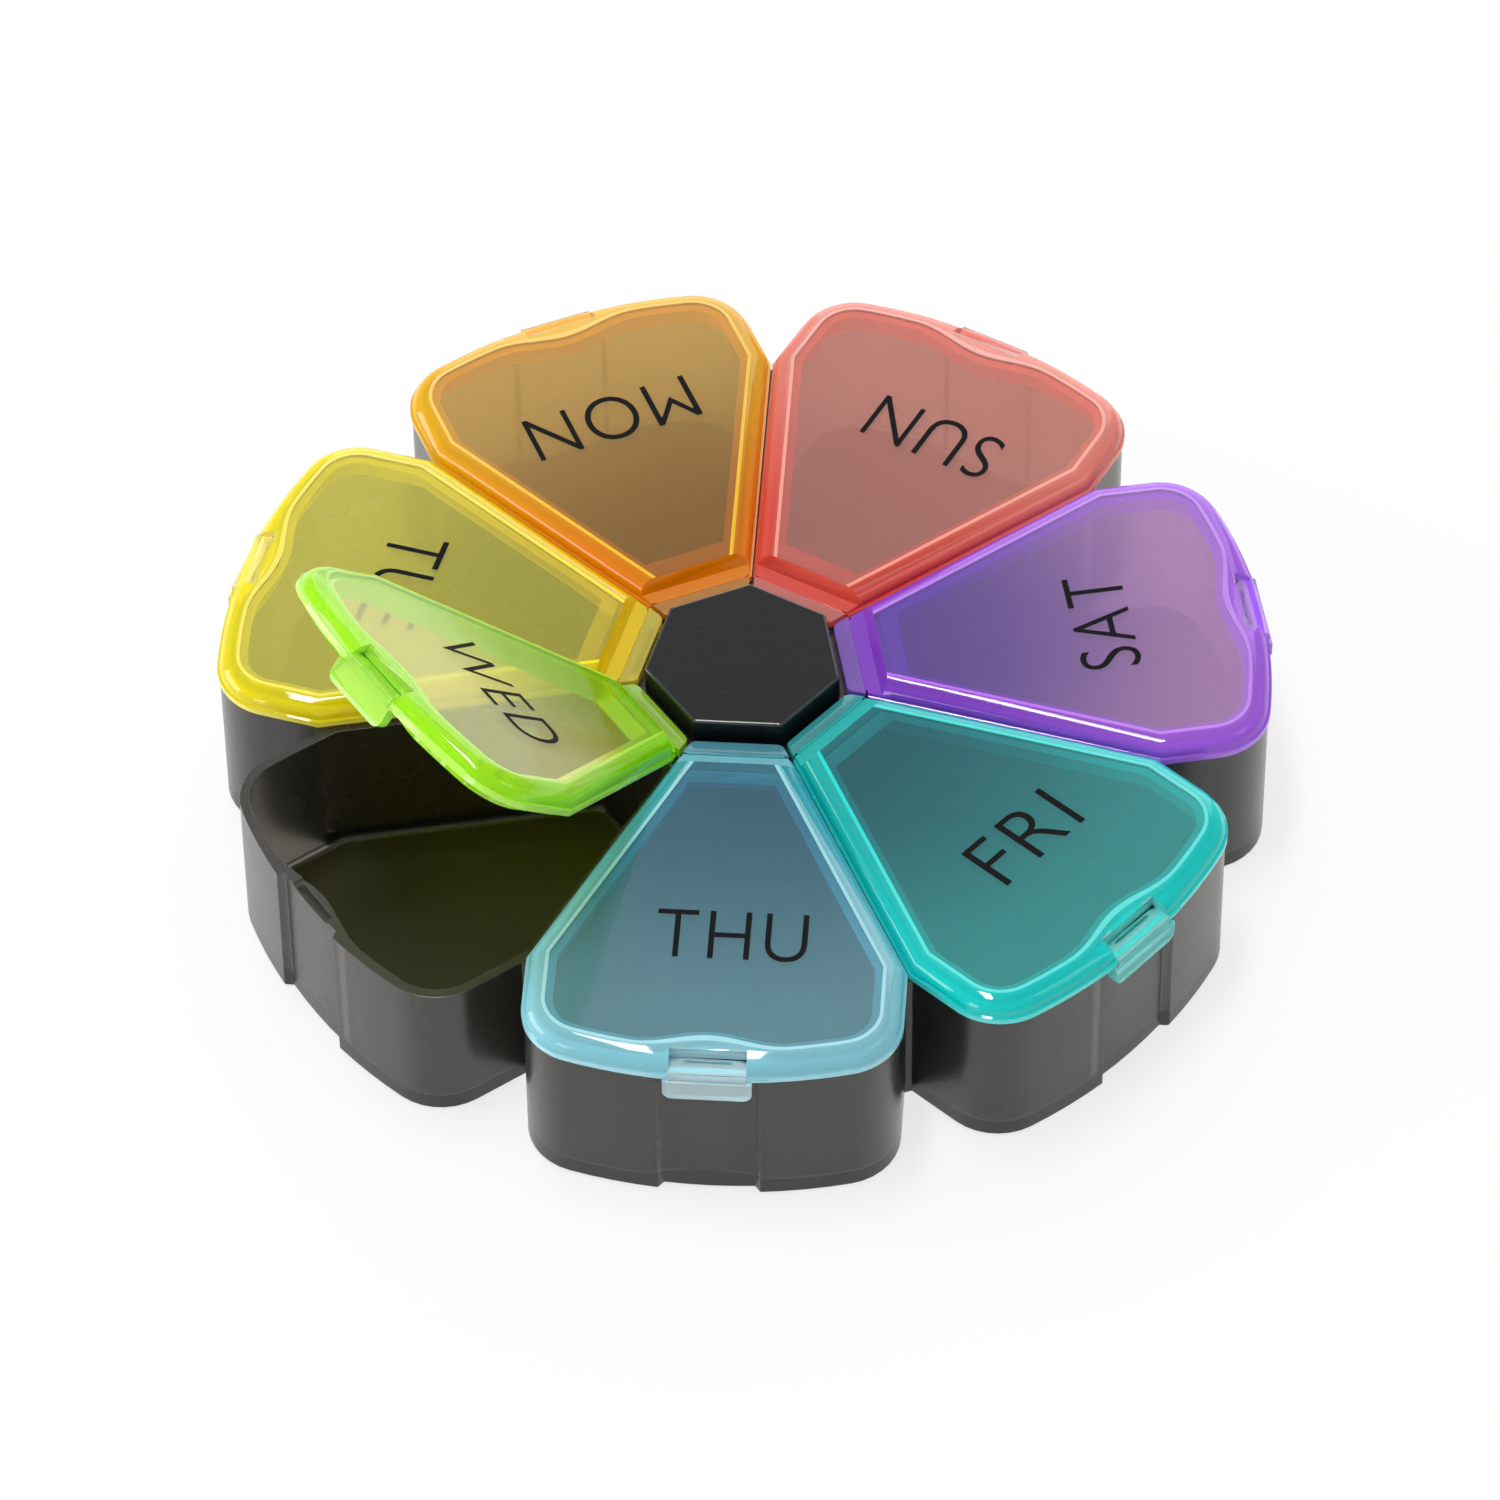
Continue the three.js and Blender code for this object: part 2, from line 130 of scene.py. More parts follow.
def moulded_skin():
    """Group: the fine unevenness of a moulded surface, as a normal and a roughness."""
    group = bpy.data.node_groups.new("moulded skin", "ShaderNodeTree")
    for name, default in (("Grain size", 900.0), ("Grain depth", 0.1), ("Roughness", 0.4), ("Mottle", 0.1)):
        socket = group.interface.new_socket(name=name, in_out="INPUT", socket_type="NodeSocketFloat")
        socket.default_value = default
    group.interface.new_socket(name="Normal", in_out="OUTPUT", socket_type="NodeSocketVector")
    group.interface.new_socket(name="Roughness", in_out="OUTPUT", socket_type="NodeSocketFloat")
    nodes, links = group.nodes, group.links
    inputs = nodes.new("NodeGroupInput")
    outputs = nodes.new("NodeGroupOutput")
    place = nodes.new("ShaderNodeTexCoord")
    grain = nodes.new("ShaderNodeTexNoise")
    grain.inputs["Detail"].default_value = 3
    links.new(place.outputs["Object"], grain.inputs["Vector"])
    links.new(inputs.outputs["Grain size"], grain.inputs["Scale"])
    bump = nodes.new("ShaderNodeBump")
    bump.inputs["Distance"].default_value = 0.05 * MM
    links.new(inputs.outputs["Grain depth"], bump.inputs["Strength"])
    links.new(grain.outputs["Fac"], bump.inputs["Height"])
    links.new(bump.outputs["Normal"], outputs.inputs["Normal"])
    cloud = nodes.new("ShaderNodeTexNoise")
    cloud.inputs["Scale"].default_value = 60
    links.new(place.outputs["Object"], cloud.inputs["Vector"])
    centred = nodes.new("ShaderNodeMath")
    centred.operation = "SUBTRACT"
    centred.inputs[1].default_value = 0.5
    links.new(cloud.outputs["Fac"], centred.inputs[0])
    spread = nodes.new("ShaderNodeMath")
    spread.operation = "MULTIPLY_ADD"
    links.new(centred.outputs[0], spread.inputs[0])
    links.new(inputs.outputs["Mottle"], spread.inputs[1])
    links.new(inputs.outputs["Roughness"], spread.inputs[2])
    links.new(spread.outputs[0], outputs.inputs["Roughness"])
    return group


skin_group = moulded_skin()


def plastic(name, colour, roughness, grain_size, grain_depth, specular=0.5):
    """Black plastic with a moulded skin."""
    material = bpy.data.materials.new(name)
    material.use_nodes = True
    nodes, links = material.node_tree.nodes, material.node_tree.links
    shader = nodes["Principled BSDF"]
    shader.inputs["Base Color"].default_value = (*colour, 1)
    shader.inputs["Specular IOR Level"].default_value = specular
    skin = nodes.new("ShaderNodeGroup")
    skin.node_tree = skin_group
    skin.inputs["Grain size"].default_value = grain_size
    skin.inputs["Grain depth"].default_value = grain_depth
    skin.inputs["Roughness"].default_value = roughness
    skin.inputs["Mottle"].default_value = 0.1
    links.new(skin.outputs["Normal"], shader.inputs["Normal"])
    links.new(skin.outputs["Roughness"], shader.inputs["Roughness"])
    return material


thin_black = plastic("thin black walls", (0.185, 0.17, 0.15), 0.27, 900, 0.05)
thin_shader = thin_black.node_tree.nodes["Principled BSDF"]
thin_shader.inputs["IOR"].default_value = 1.58
thin_shader.inputs["Transmission Weight"].default_value = 0.95
floor_black_painted_shade = plastic("black floor", (0.022, 0.020, 0.004), 0.42, 900, 0.01, specular=0.36)

tray = copy_of_node("tray", "tray_moulding")
break_edges(tray, 0.25 * MM)
tray.data.materials.clear()
tray.data.materials.append(thin_black)
tray.data.materials.append(floor_black_painted_shade)
# Level faces low in the tray take the opaque black: painted shade for the dark beneath the tray.
above_floor = 4 * MM
for face in tray.data.polygons:
    level = abs(face.normal.z) > 0.95
    face.material_index = 1 if level and face.center.z < above_floor else 0
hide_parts("tray")
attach(tray, "base")

# A seven-sided cap in the same plastic closes the hub. Its top is finely grained, and its edges are
# polished, so they shine as thin lines; their lighter colour is a painted highlight. A plug below it holds
# it in the hub.
cap_black = plastic("grained black", (0.005, 0.005, 0.006), 0.36, 1600, 0.6, specular=0.22)
polished_edge_painted_highlight = plastic("polished black edge with painted highlight", (0.03, 0.03, 0.032), 0.22, 900, 0.0, specular=0.8)

cap = copy_of_node("hub_cap", "hub_cap_moulding")
break_edges(cap, 0.25 * MM, steps=3)
cap.data.materials.clear()
cap.data.materials.append(cap_black)
cap.data.materials.append(polished_edge_painted_highlight)
# The bevel faces take the glossier, lighter material: real polish, with a painted highlight in its colour.
for face in cap.data.polygons:
    polished = 0.3 < face.normal.z < 0.95
    face.material_index = 1 if polished else 0
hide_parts("hub_cap")
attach(cap, "base")

# Lid flap
# The flap is a thin shell: an upright edge, a rounded shoulder and a flat panel, with a low ledge and
# a short slope beside the hinge. A plug skirt below it fits inside the compartment, and the round end
# carries the tab and the rib that hooks into the tray. It is drawn once, with the petal along +X.
petal_pitch = 2 * math.pi / 7
half_pitch = petal_pitch / 2
hinge_radius = 16.4 * MM
hinge_height = 26.1 * MM
hinge_gap = 0.3 * MM
lid_underside = 24.5 * MM
lid_top = 27.9 * MM
lid_radius = 74.49 * MM
lid_half_width = 26.19 * MM
lid_corner = 9 * MM
lid_slit = 0.25 * MM
lid_wall = 1.1 * MM
edge_height = 0.9 * MM
edge_step = 0.35 * MM
shoulder_width = 3.3 * MM
ledge_run = 2 * MM
ledge_fall = 0.15 * MM
slope_run = 1.1 * MM
skirt_inset = 2.1 * MM
skirt_low = 23.1 * MM
skirt_hub = 19.3 * MM
dip_depth = 2.2 * MM
dip_half_width = 11 * MM
edge_top = lid_underside + edge_height
ceiling = lid_top - lid_wall
flap_hub = 10 * MM
corner_steps = 14
end_steps = 40
cut_threshold = 0.0005 * MM
same_place = 0.01 * MM
plate_size = 2.2 * lid_radius
# Cutting blocks reach past the flap to these places.
in_hub = 5 * MM
past_side = 30 * MM
past_end = 80 * MM
past_low = 20 * MM
past_top = 30 * MM
hub_cut_top = lid_top + 2 * MM
notch_cut_top = lid_top + MM


def petal_plate(name, inset, hub, height):
    """Flat plate with a petal's outline, cut from a square along the tangents of that outline."""
    deselect_all()
    bpy.ops.mesh.primitive_plane_add(size=plate_size, location=(0, 0, height))
    plate = bpy.context.active_object
    plate.name = name
    bpy.ops.object.transform_apply(location=True)
    side = lid_slit / 2 + inset
    half_width = lid_half_width - inset
    run_to_corner = math.sqrt((lid_radius - lid_corner) ** 2 - (lid_half_width - lid_corner) ** 2)
    corner_centre = Vector((run_to_corner, lid_half_width - lid_corner, height))
    meet = math.atan2(corner_centre.y, corner_centre.x)
    cuts = [(Vector((hub, 0, height)), Vector((-1, 0, 0)))]
    for turn in (1, -1):
        slant = Vector((-math.sin(half_pitch), turn * math.cos(half_pitch), 0))
        cuts.append((slant * side * -1 + Vector((0, 0, height)), slant))
        cuts.append((Vector((0, turn * half_width, height)), Vector((0, turn, 0))))
        centre = Vector((corner_centre.x, turn * corner_centre.y, height))
        for step in range(1, corner_steps):
            angle = math.pi / 2 + (meet - math.pi / 2) * step / corner_steps
            outward = Vector((math.cos(angle), turn * math.sin(angle), 0))
            cuts.append((centre + outward * (lid_corner - inset), outward))
    for step in range(end_steps + 1):
        angle = -meet + 2 * meet * step / end_steps
        outward = Vector((math.cos(angle), math.sin(angle), 0))
        cuts.append((outward * (lid_radius - inset) + Vector((0, 0, height)), outward))
    bpy.ops.object.mode_set(mode="EDIT")
    for place, outward in cuts:
        bpy.ops.mesh.select_all(action="SELECT")
        bpy.ops.mesh.bisect(plane_co=place, plane_no=outward, clear_outer=True, threshold=cut_threshold)
    bpy.ops.mesh.select_all(action="SELECT")
    return plate


def raise_top(height):
    """Extrudes the selected plate upward; its top stays selected."""
    bpy.ops.mesh.extrude_region_move(TRANSFORM_OT_translate={"value": (0, 0, height)})


def round_over(width, rise, steps):
    """Insets the selected top in steps that follow a quarter of an ellipse."""
    for step in range(1, steps + 1):
        last, turn = math.pi / 2 * (step - 1) / steps, math.pi / 2 * step / steps
        bpy.ops.mesh.inset(
            thickness=width * (math.cos(last) - math.cos(turn)),
            depth=rise * (math.sin(turn) - math.sin(last)),
        )


def close_body():
    """Ends edit mode with the faces of a closed body pointing outward."""
    bpy.ops.mesh.select_all(action="SELECT")
    bpy.ops.mesh.normals_make_consistent(inside=False)
    bpy.ops.object.mode_set(mode="OBJECT")


def draw_in(piece, foot, top):
    """Draws the middle of the round end inward, all the way above the top and not below the foot."""
    for vertex in piece.data.vertices:
        across = min(abs(vertex.co.y) / dip_half_width, 1)
        rise = min(max((vertex.co.z - foot) / (top - foot), 0), 1)
        run = math.hypot(vertex.co.x, vertex.co.y)
        if vertex.co.x > lid_radius / 2:
            depth = dip_depth * (1 - math.sqrt(1 - rise * rise)) * (1 + math.cos(math.pi * across)) / 2
            vertex.co.x *= (run - depth) / run
            vertex.co.y *= (run - depth) / run


def combine(piece, other, operation):
    """Joins or cuts one body with another, which is used up."""
    joint = piece.modifiers.new("joint", "BOOLEAN")
    joint.operation = operation
    joint.solver = "EXACT"
    joint.object = other
    joint.material_mode = "TRANSFER"
    deselect_all()
    bpy.context.view_layer.objects.active = piece
    piece.select_set(True)
    bpy.ops.object.modifier_apply(modifier=joint.name)
    bpy.data.objects.remove(other)


def block(name, low, high):
    """Box between two corners."""
    deselect_all()
    middle = (Vector(low) + Vector(high)) / 2
    bpy.ops.mesh.primitive_cube_add(size=1, location=middle)
    piece = bpy.context.active_object
    piece.name = name
    piece.scale = Vector(high) - Vector(low)
    bpy.ops.object.transform_apply(location=True, scale=True)
    return piece


def bevel_along_petal(piece, height, offset, segments, profile):
    """Rounds or hollows the block's edges that run along the petal at one height."""
    bpy.ops.object.mode_set(mode="EDIT")
    bpy.ops.mesh.select_mode(type="EDGE")
    bpy.ops.mesh.select_all(action="DESELECT")
    bpy.ops.object.mode_set(mode="OBJECT")
    for edge in piece.data.edges:
        ends = [piece.data.vertices[index].co for index in edge.vertices]
        level = all(abs(end.z - height) < same_place for end in ends)
        edge.select = level and abs(ends[0].y - ends[1].y) < same_place
    bpy.ops.object.mode_set(mode="EDIT")
    bpy.ops.mesh.bevel(offset=offset, segments=segments, profile=profile, affect="EDGES")
    bpy.ops.object.mode_set(mode="OBJECT")


# The shell: edge, step and shoulder.
flap = petal_plate("flap", 0, flap_hub, lid_underside)
raise_top(edge_height)
bpy.ops.mesh.inset(thickness=edge_step, depth=edge_step / 2)
shoulder_foot = edge_top + edge_step / 2
round_over(shoulder_width - edge_step, lid_top - shoulder_foot, steps=9)
close_body()
draw_in(flap, shoulder_foot, lid_top)

# The ledge and the slope beside the hinge.
hub_cut = block(
    "hub_cut",
    (in_hub, -past_side, hinge_height),
    (hinge_radius + ledge_run, past_side, hub_cut_top),
)
for vertex in hub_cut.data.vertices:
    if vertex.co.z > lid_top:
        if vertex.co.x > hinge_radius:
            vertex.co.x += slope_run * (vertex.co.z - hinge_height) / (lid_top - hinge_height)
    elif vertex.co.x < hinge_radius:
        vertex.co.z -= ledge_fall * (hinge_radius + ledge_run - vertex.co.x) / ledge_run
combine(flap, hub_cut, "DIFFERENCE")
hinge_cut = block(
    "hinge_cut",
    (in_hub, -past_side, past_low),
    (hinge_radius + hinge_gap / 2, past_side, past_top),
)
combine(flap, hinge_cut, "DIFFERENCE")

# The hollow underside, which stays solid behind the tab.
hollow = petal_plate("hollow", lid_wall, hinge_radius + ledge_run + lid_wall, lid_underside - MM)
raise_top(edge_top - lid_underside + MM)
round_over(shoulder_width, ceiling - edge_top, steps=7)
close_body()
draw_in(hollow, edge_top, ceiling)
tab_half_width = 5.3 * MM
tab_run = 3.5 * MM
tab_reach = block(
    "tab_reach",
    (lid_radius - tab_run, -tab_half_width, past_low),
    (past_end, tab_half_width, past_top),
)
combine(hollow, tab_reach, "DIFFERENCE")
combine(flap, hollow, "DIFFERENCE")

# The plug skirt, drawn in over its whole height.
skirt = petal_plate("skirt", skirt_inset, skirt_hub, skirt_low)
raise_top(ceiling + lid_wall / 2 - skirt_low)
close_body()
skirt_core = petal_plate("skirt_core", skirt_inset + lid_wall, skirt_hub + lid_wall, skirt_low - MM)
raise_top(lid_top - skirt_low + MM)
close_body()
for wall_piece in (skirt, skirt_core):
    draw_in(wall_piece, 0, past_low)
combine(skirt, skirt_core, "DIFFERENCE")
combine(flap, skirt, "UNION")

# The tab in its notch, with hollow flanks and a rolled lip.
tab_top = hinge_height - 0.2 * MM
tab_face = lid_radius + 0.1 * MM
tab_back = tab_face - 1.2 * MM
notch_radius = 71.4 * MM
flank_foot = lid_underside + edge_height / 2
flank_run = 3 * MM
lip_half_width = 6.1 * MM
lip_depth = 3.3 * MM
lip_round = 1.4 * MM
lip_step = 0.3 * MM
overlap = 0.03 * MM
notch = block(
    "notch",
    (notch_radius, -tab_half_width, tab_top),
    (past_end, tab_half_width, notch_cut_top),
)
combine(flap, notch, "DIFFERENCE")
tab_plate = block(
    "tab_plate",
    (tab_back, -tab_half_width, lid_underside - lip_step),
    (tab_face, tab_half_width, tab_top),
)
flank = block(
    "flank",
    (tab_back - overlap, -tab_half_width - flank_run, flank_foot),
    (tab_face, tab_half_width + flank_run, flank_foot + flank_run),
)
bevel_along_petal(flank, flank_foot + flank_run, flank_run * 0.999, segments=10, profile=0.12)
for vertex in flank.data.vertices:
    vertex.co.z = flank_foot + (vertex.co.z - flank_foot) * (tab_top - flank_foot) / flank_run
    vertex.co.x -= tab_face - math.sqrt(tab_face ** 2 - vertex.co.y ** 2)
bpy.ops.object.mode_set(mode="EDIT")
bpy.ops.mesh.select_all(action="SELECT")
bpy.ops.mesh.quads_convert_to_tris()
close_body()
lip = block(
    "lip",
    (tab_back - overlap * 2, -lip_half_width, lid_underside - lip_depth),
    (tab_face + lip_step, lip_half_width, lid_underside + overlap),
)
bevel_along_petal(lip, lid_underside - lip_depth, lip_round, segments=8, profile=0.5)
combine(tab_plate, flank, "UNION")
combine(tab_plate, lip, "UNION")
combine(flap, tab_plate, "UNION")

# The rib that hooks into the tray's slot.
hook_centre = 72.15 * MM
hook_half_width = 3.35 * MM
hook_half_wall = 0.25 * MM
hook_low = 23 * MM
hook_sink = 0.3 * MM
hook = block(
    "hook",
    (hook_centre - hook_half_wall, -hook_half_width, hook_low),
    (hook_centre + hook_half_wall, hook_half_width, ceiling + hook_sink),
)
combine(flap, hook, "UNION")

# Faces by material: 0 rim, 1 flat panel, 2 tab and lip, 3 painted highlight lines on the edge's foot and the
# shoulder's crest.
break_edges(flap, 0.1 * MM)
flap.data.materials.clear()
panel_area = 400 * MM * MM
tab_zone = 71.2 * MM
tab_margin = 0.1 * MM
crest_low = lid_top - 0.03 * MM
edge_margin = 0.05 * MM
for face in flap.data.polygons:
    middle = face.center
    heights = [flap.data.vertices[index].co.z for index in face.vertices]
    flat = abs(face.normal.z) > 0.999 and face.area > panel_area
    on_plate = middle.x > tab_zone and abs(middle.y) < tab_half_width + tab_margin
    on_lip = middle.x > tab_back and middle.z < lid_underside
    on_edge = min(heights) > lid_underside - edge_margin and max(heights) < edge_top + edge_margin
    foot = abs(face.normal.z) < 0.5 and on_edge and middle.x > hinge_radius + MM
    crest = face.normal.z > 0.3 and middle.z > crest_low
    face.material_index = 1 if flat else 2 if on_plate or on_lip else 3 if foot or crest else 0

# Lid plastics
# The flap and its strip are tinted clear polypropylene. Thin flat walls look pale and clear, the thicker
# rim takes up colour and glows where light gathers in it, and the tab is nearly clear. Each day has its
# panel's colour near the hub and at the round end, its rim's colour at the same places, and its slot. The
# paler colour at the round end is painted light, and the darker colour at the hub is painted shade.
lid_colours = {
    "thursday": (
        ((0.10, 0.36, 0.50), (0.36, 0.68, 0.78)),
        ((0.12, 0.64, 0.76), (0.42, 0.84, 0.93)),
        "light_blue",
    ),
    "friday": (
        ((0.01, 0.34, 0.41), (0.10, 0.74, 0.72)),
        ((0.0, 0.72, 0.70), (0.0, 0.88, 0.84)),
        "turquoise",
    ),
    "saturday": (
        ((0.34, 0.20, 0.72), (0.92, 0.58, 0.95)),
        ((0.42, 0.10, 0.84), (0.60, 0.20, 0.98)),
        "purple",
    ),
    "sunday": (
        ((0.84, 0.42, 0.37), (1.0, 0.50, 0.42)),
        ((0.95, 0.14, 0.10), (1.0, 0.42, 0.34)),
        "coral_red",
    ),
    "monday": (
        ((0.60, 0.34, 0.05), (1.0, 0.72, 0.22)),
        ((1.0, 0.38, 0.0), (1.0, 0.66, 0.005)),
        "orange",
    ),
    "tuesday": (
        ((0.80, 0.76, 0.11), (1.0, 0.95, 0.20)),
        ((1.0, 0.78, 0.0), (1.0, 0.90, 0.008)),
        "yellow",
    ),
    "wednesday": (
        ((0.56, 0.74, 0.02), (1.0, 1.0, 0.62)),
        ((0.42, 0.88, 0.0), (0.54, 0.94, 0.004)),
        "lime_green",
    ),
}
clear_index = 1.49


def flow_marks_and_painted_light():
    """Group: clear plastic's tint with the faint clouds of the melt, and painted light that makes it paler
    toward the round end.
    """
    group = bpy.data.node_groups.new("flow marks and painted light", "ShaderNodeTree")
    for name in ("Hub colour", "End colour"):
        colour_in = group.interface.new_socket(name=name, in_out="INPUT", socket_type="NodeSocketColor")
        colour_in.default_value = (0.5, 0.5, 0.5, 1)
    for name, default in (("Depth", 0.1), ("Roughness", 0.05), ("Haze", 0.03)):
        socket = group.interface.new_socket(name=name, in_out="INPUT", socket_type="NodeSocketFloat")
        socket.default_value = default
    group.interface.new_socket(name="Colour", in_out="OUTPUT", socket_type="NodeSocketColor")
    group.interface.new_socket(name="Roughness", in_out="OUTPUT", socket_type="NodeSocketFloat")
    nodes, links = group.nodes, group.links
    inputs = nodes.new("NodeGroupInput")
    outputs = nodes.new("NodeGroupOutput")
    place = nodes.new("ShaderNodeTexCoord")
    cloud = nodes.new("ShaderNodeTexNoise")
    cloud.inputs["Scale"].default_value = 45
    cloud.inputs["Detail"].default_value = 2
    cloud.inputs["Distortion"].default_value = 0.8
    links.new(place.outputs["Object"], cloud.inputs["Vector"])
    run = nodes.new("ShaderNodeVectorMath")
    run.operation = "LENGTH"
    links.new(place.outputs["Object"], run.inputs[0])
    # Painted light: the tint grows paler with distance from the hub, and darker near the hub.
    paler = nodes.new("ShaderNodeMapRange")
    paler.interpolation_type = "SMOOTHSTEP"
    paler.inputs["From Min"].default_value = 35 * MM
    paler.inputs["From Max"].default_value = 75 * MM
    links.new(run.outputs["Value"], paler.inputs["Value"])
    tint = nodes.new("ShaderNodeMixRGB")
    links.new(paler.outputs["Result"], tint.inputs["Fac"])
    links.new(inputs.outputs["Hub colour"], tint.inputs["Color1"])
    links.new(inputs.outputs["End colour"], tint.inputs["Color2"])
    deeper = nodes.new("ShaderNodeMixRGB")
    deeper.blend_type = "MULTIPLY"
    share = nodes.new("ShaderNodeMath")
    share.operation = "MULTIPLY"
    links.new(cloud.outputs["Fac"], share.inputs[0])
    links.new(inputs.outputs["Depth"], share.inputs[1])
    links.new(share.outputs[0], deeper.inputs["Fac"])
    links.new(tint.outputs["Color"], deeper.inputs["Color1"])
    links.new(tint.outputs["Color"], deeper.inputs["Color2"])
    links.new(deeper.outputs["Color"], outputs.inputs["Colour"])
    haze = nodes.new("ShaderNodeMath")
    haze.operation = "MULTIPLY_ADD"
    links.new(cloud.outputs["Fac"], haze.inputs[0])
    links.new(inputs.outputs["Haze"], haze.inputs[1])
    links.new(inputs.outputs["Roughness"], haze.inputs[2])
    links.new(haze.outputs[0], outputs.inputs["Roughness"])
    return group


flow_and_light_group = flow_marks_and_painted_light()


def tinted(name, hub_colour, end_colour, transmission, roughness, index=clear_index):
    """Clear tinted plastic that scatters some light and lets the lamps' light through."""
    material = bpy.data.materials.new(name)
    material.use_nodes = True
    nodes, links = material.node_tree.nodes, material.node_tree.links
    shader = nodes["Principled BSDF"]
    shader.inputs["IOR"].default_value = index
    shader.inputs["Transmission Weight"].default_value = transmission
    flow = nodes.new("ShaderNodeGroup")
    flow.node_tree = flow_and_light_group
    flow.inputs["Hub colour"].default_value = (*hub_colour, 1)
    flow.inputs["End colour"].default_value = (*end_colour, 1)
    flow.inputs["Depth"].default_value = 0.2
    flow.inputs["Roughness"].default_value = roughness
    flow.inputs["Haze"].default_value = roughness / 2
    links.new(flow.outputs["Colour"], shader.inputs["Base Color"])
    links.new(flow.outputs["Roughness"], shader.inputs["Roughness"])
    ray = nodes.new("ShaderNodeLightPath")
    passing = nodes.new("ShaderNodeBsdfTransparent")
    passing.inputs["Color"].default_value = (*[math.sqrt(part) * transmission for part in hub_colour], 1)
    lamps = nodes.new("ShaderNodeMixShader")
    links.new(ray.outputs["Is Shadow Ray"], lamps.inputs["Fac"])
    links.new(shader.outputs["BSDF"], lamps.inputs[1])
    links.new(passing.outputs["BSDF"], lamps.inputs[2])
    links.new(lamps.outputs["Shader"], nodes["Material Output"].inputs["Surface"])
    return material


# Lids and hinge strips
# Each day's moulding is the flap, a thin web along the hinge line, and the strip beside the hub that is
# fixed to the tray by its tongue. One lid stands open, and its panel mirrors very little.
open_angle = {"wednesday": math.radians(40)}
open_panel_index = 1.17
# A tab's share of white is partly its thin clear plastic and partly painted light: Thursday's front tab is
# painted whiter, the open Wednesday tab less white.
tab_whiteness_and_painted_light = {"thursday": 0.62, "wednesday": 0.15}
usual_tab_whiteness = 0.4
highlight_line_whiteness = 0.15
strip_whiteness = 0.08
half_web = 6.8 * MM
web_margin = 0.01 * MM
web_foot = hinge_height - 0.4 * MM
web_top = hinge_height - 0.02 * MM


def petal_places(index, day):
    """Two matrices: one turns a piece to its petal, one opens a lid on its hinge line."""
    to_petal = Matrix.Rotation(-math.pi / 2 + index * petal_pitch, 4, "Z")
    to_hinge = Matrix.Translation((hinge_radius, 0, hinge_height))
    opened = to_hinge @ Matrix.Rotation(-open_angle.get(day, 0), 4, "Y") @ to_hinge.inverted()
    return to_petal, opened


def whiter(colour, white):
    """The colour with a share of white."""
    return [white + (1 - white) * part for part in colour]


for index, (day, (panel_colours, rim_colours, slot)) in enumerate(lid_colours.items()):
    to_petal, opened = petal_places(index, day)
    rim_hub, rim_end = rim_colours
    tab_colour = whiter(rim_end, tab_whiteness_and_painted_light.get(day, usual_tab_whiteness))
    highlight_line_colour = whiter(rim_end, highlight_line_whiteness)
    strip_tint = [(panel_part + rim_part) / 2 for panel_part, rim_part in zip(panel_colours[0], rim_hub)]
    strip_colour = whiter(strip_tint, strip_whiteness)
    panel_index = open_panel_index if day in open_angle else clear_index
    rim = tinted(f"{day} rim", rim_hub, rim_end, 0.55, 0.04)
    panel = tinted(f"{day} panel", *panel_colours, 0.80, 0.05, panel_index)
    tab = tinted(f"{day} tab", tab_colour, tab_colour, 0.62, 0.05)
    strip_plastic = tinted(f"{day} strip", strip_colour, strip_colour, 0.62, 0.05)
    # The edge material is a painted highlight: a whitened, less clear tint on the edge's foot and the
    # shoulder's crest.
    edge = tinted(f"{day} edge", rim_end, highlight_line_colour, 0.30, 0.05)
    lid = bpy.data.objects.new(f"{day}_flap", flap.data.copy())
    bpy.context.scene.collection.objects.link(lid)
    lid.data.transform(to_petal @ opened)
    for plastic_of_lid in (rim, panel, tab, edge):
        lid.data.materials.append(plastic_of_lid)
    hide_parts(f"lid_{day}")
    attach(lid, f"{day}_lid")
    strip = copy_of_node(f"hinge_strip_{day}", f"{day}_strip")
    break_edges(strip, 0.12 * MM)
    strip.data.materials.clear()
    strip.data.materials.append(strip_plastic)
    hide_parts(f"hinge_strip_{day}")
    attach(strip, "base")
    web = block(
        f"{day}_hinge_web",
        (hinge_radius - hinge_gap / 2 + web_margin, -half_web, web_foot),
        (hinge_radius + hinge_gap / 2 - web_margin, half_web, web_top),
    )
    break_edges(web, 0.05 * MM)
    web.data.transform(to_petal)
    web.data.materials.append(rim)
    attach(web, "base")
bpy.data.objects.remove(flap)

# Day names
# Thin black sans capitals, printed on each panel so that they read upright from the round end. For each
# day: the word, its width, and how far its middle lies beside the petal's middle line.
ink = plastic("printing ink", (0.006, 0.006, 0.007), 0.5, 2500, 0.1, specular=0.05)
print_height = 0.02 * MM
cap_height = 8.6 * MM
word_middle = 51.1 * MM
letter_spacing = 1.08
stroke_change = -0.011
words = {
    "thursday": ("THU", 20.8 * MM, 1.85 * MM),
    "friday": ("FRI", 16.4 * MM, 1.5 * MM),
    "saturday": ("SAT", 17.7 * MM, -1.15 * MM),
    "sunday": ("SUN", 19.8 * MM, -2.5 * MM),
    "monday": ("MON", 25 * MM, 0),
    "tuesday": ("TUE", 18.4 * MM, -0.6 * MM),
    "wednesday": ("WED", 23.6 * MM, 1.9 * MM),
}
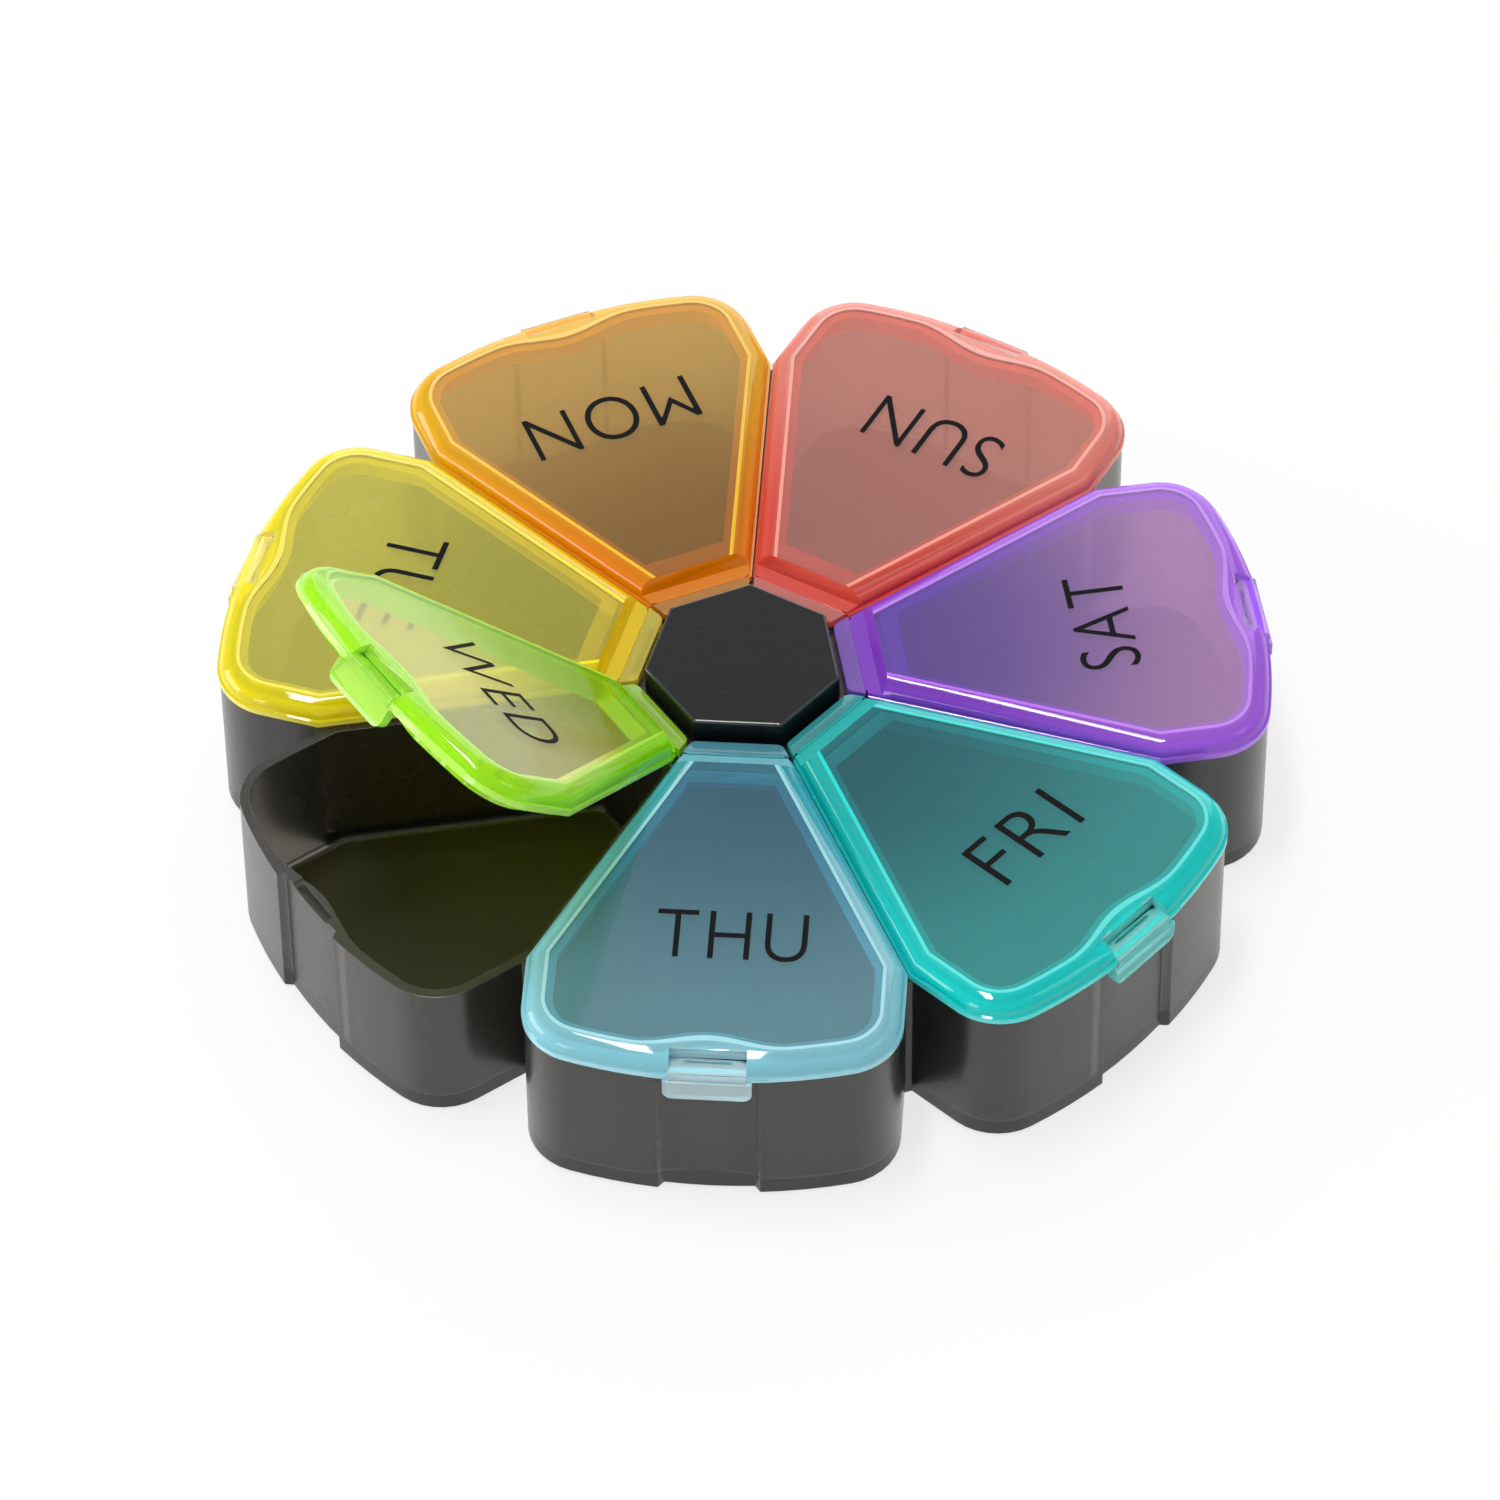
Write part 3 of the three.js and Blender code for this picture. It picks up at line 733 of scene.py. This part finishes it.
for index, (day, (word, width, across)) in enumerate(words.items()):
    deselect_all()
    bpy.ops.object.text_add()
    name = bpy.context.active_object
    name.name = f"{day}_name"
    name.data.body = word
    name.data.align_x = "CENTER"
    name.data.extrude = 0.5
    name.data.space_character = letter_spacing
    name.data.offset = stroke_change
    bpy.ops.object.convert(target="MESH")
    name = bpy.context.active_object
    low = [min(vertex.co[axis] for vertex in name.data.vertices) for axis in range(3)]
    high = [max(vertex.co[axis] for vertex in name.data.vertices) for axis in range(3)]
    to_centre = Matrix.Translation([-(low[axis] + high[axis]) / 2 for axis in range(3)])
    to_size = Matrix.Diagonal((width / (high[0] - low[0]), cap_height / (high[1] - low[1]), print_height, 1))
    on_panel = Matrix.Translation((word_middle, across, lid_top + print_height / 2))
    upright = Matrix.Rotation(math.pi / 2, 4, "Z")
    to_petal, opened = petal_places(index, day)
    name.data.transform(to_petal @ opened @ on_panel @ upright @ to_size @ to_centre)
    name.data.materials.append(ink)
    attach(name, f"{day}_lid")

# Studio
# A floor that keeps the shadow and looks nearly white, and six soft lights: a wide one behind that the
# closed lids mirror faintly, a long one overhead that draws bright lines on the rims, and four that
# light the walls from the front left, right, back and left. The surround is an even, dim white.
floor_white = 0.75
surround_strength = 0.43
bpy.ops.mesh.primitive_plane_add(size=8, location=(0, 0, -0.1 * MM))
floor = bpy.context.active_object
floor.name = "studio_floor"
floor_material = bpy.data.materials.new("white floor")
floor_material.use_nodes = True
floor_nodes, floor_links = floor_material.node_tree.nodes, floor_material.node_tree.links
floor_shader = floor_nodes["Principled BSDF"]
floor_shader.inputs["Base Color"].default_value = (0.9, 0.9, 0.9, 1)
floor_shader.inputs["Roughness"].default_value = 0.7
white = floor_nodes.new("ShaderNodeEmission")
ray = floor_nodes.new("ShaderNodeLightPath")
seen = floor_nodes.new("ShaderNodeMath")
seen.operation = "MAXIMUM"
seen_through = floor_nodes.new("ShaderNodeMath")
seen_through.operation = "MAXIMUM"
white_share = floor_nodes.new("ShaderNodeMath")
white_share.operation = "MULTIPLY"
white_share.inputs[1].default_value = floor_white
floor_mix = floor_nodes.new("ShaderNodeMixShader")
floor_links.new(ray.outputs["Is Camera Ray"], seen.inputs[0])
floor_links.new(ray.outputs["Is Glossy Ray"], seen.inputs[1])
floor_links.new(seen.outputs[0], seen_through.inputs[0])
floor_links.new(ray.outputs["Is Transmission Ray"], seen_through.inputs[1])
floor_links.new(seen_through.outputs[0], white_share.inputs[0])
floor_links.new(white_share.outputs[0], floor_mix.inputs["Fac"])
floor_links.new(floor_shader.outputs["BSDF"], floor_mix.inputs[1])
floor_links.new(white.outputs["Emission"], floor_mix.inputs[2])
floor_links.new(floor_mix.outputs["Shader"], floor_nodes["Material Output"].inputs["Surface"])
floor.data.materials.append(floor_material)
floor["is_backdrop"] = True


def soft_panel(name, place, width, height, watts):
    """A light that faces the organizer and isn't seen through the lids."""
    data = bpy.data.lights.new(name, "AREA")
    data.shape = "RECTANGLE"
    data.size = width
    data.size_y = height
    data.energy = watts
    lamp = bpy.data.objects.new(name, data)
    bpy.context.scene.collection.objects.link(lamp)
    lamp.location = place
    lamp.rotation_mode = "QUATERNION"
    lamp.rotation_quaternion = (-Vector(place)).to_track_quat("-Z", "Y")
    lamp.visible_transmission = False


soft_panel("wide panel", (-0.1, 0.95, 1.1), 1.2, 1.2, 1.6)
soft_panel("strip panel", (-0.17, 0.0, 1.38), 0.7, 0.18, 9.5)
soft_panel("front left panel", (-0.8, -1.1, 0.35), 0.4, 0.4, 2.5)
soft_panel("right panel", (1.2, -0.3, 1.0), 0.5, 0.5, 1)
soft_panel("back panel", (0.1, 1.3, 0.45), 1.2, 1.2, 7)
soft_panel("left back panel", (-1.4, 0.0, 0.3), 1.0, 0.8, 11)
world = bpy.data.worlds.new("surround")
world.use_nodes = True
world.node_tree.nodes["Background"].inputs["Color"].default_value = (1, 1, 1, 1)
world.node_tree.nodes["Background"].inputs["Strength"].default_value = surround_strength
bpy.context.scene.world = world

bpy.context.scene.view_settings.view_transform = "Standard"

low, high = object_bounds()
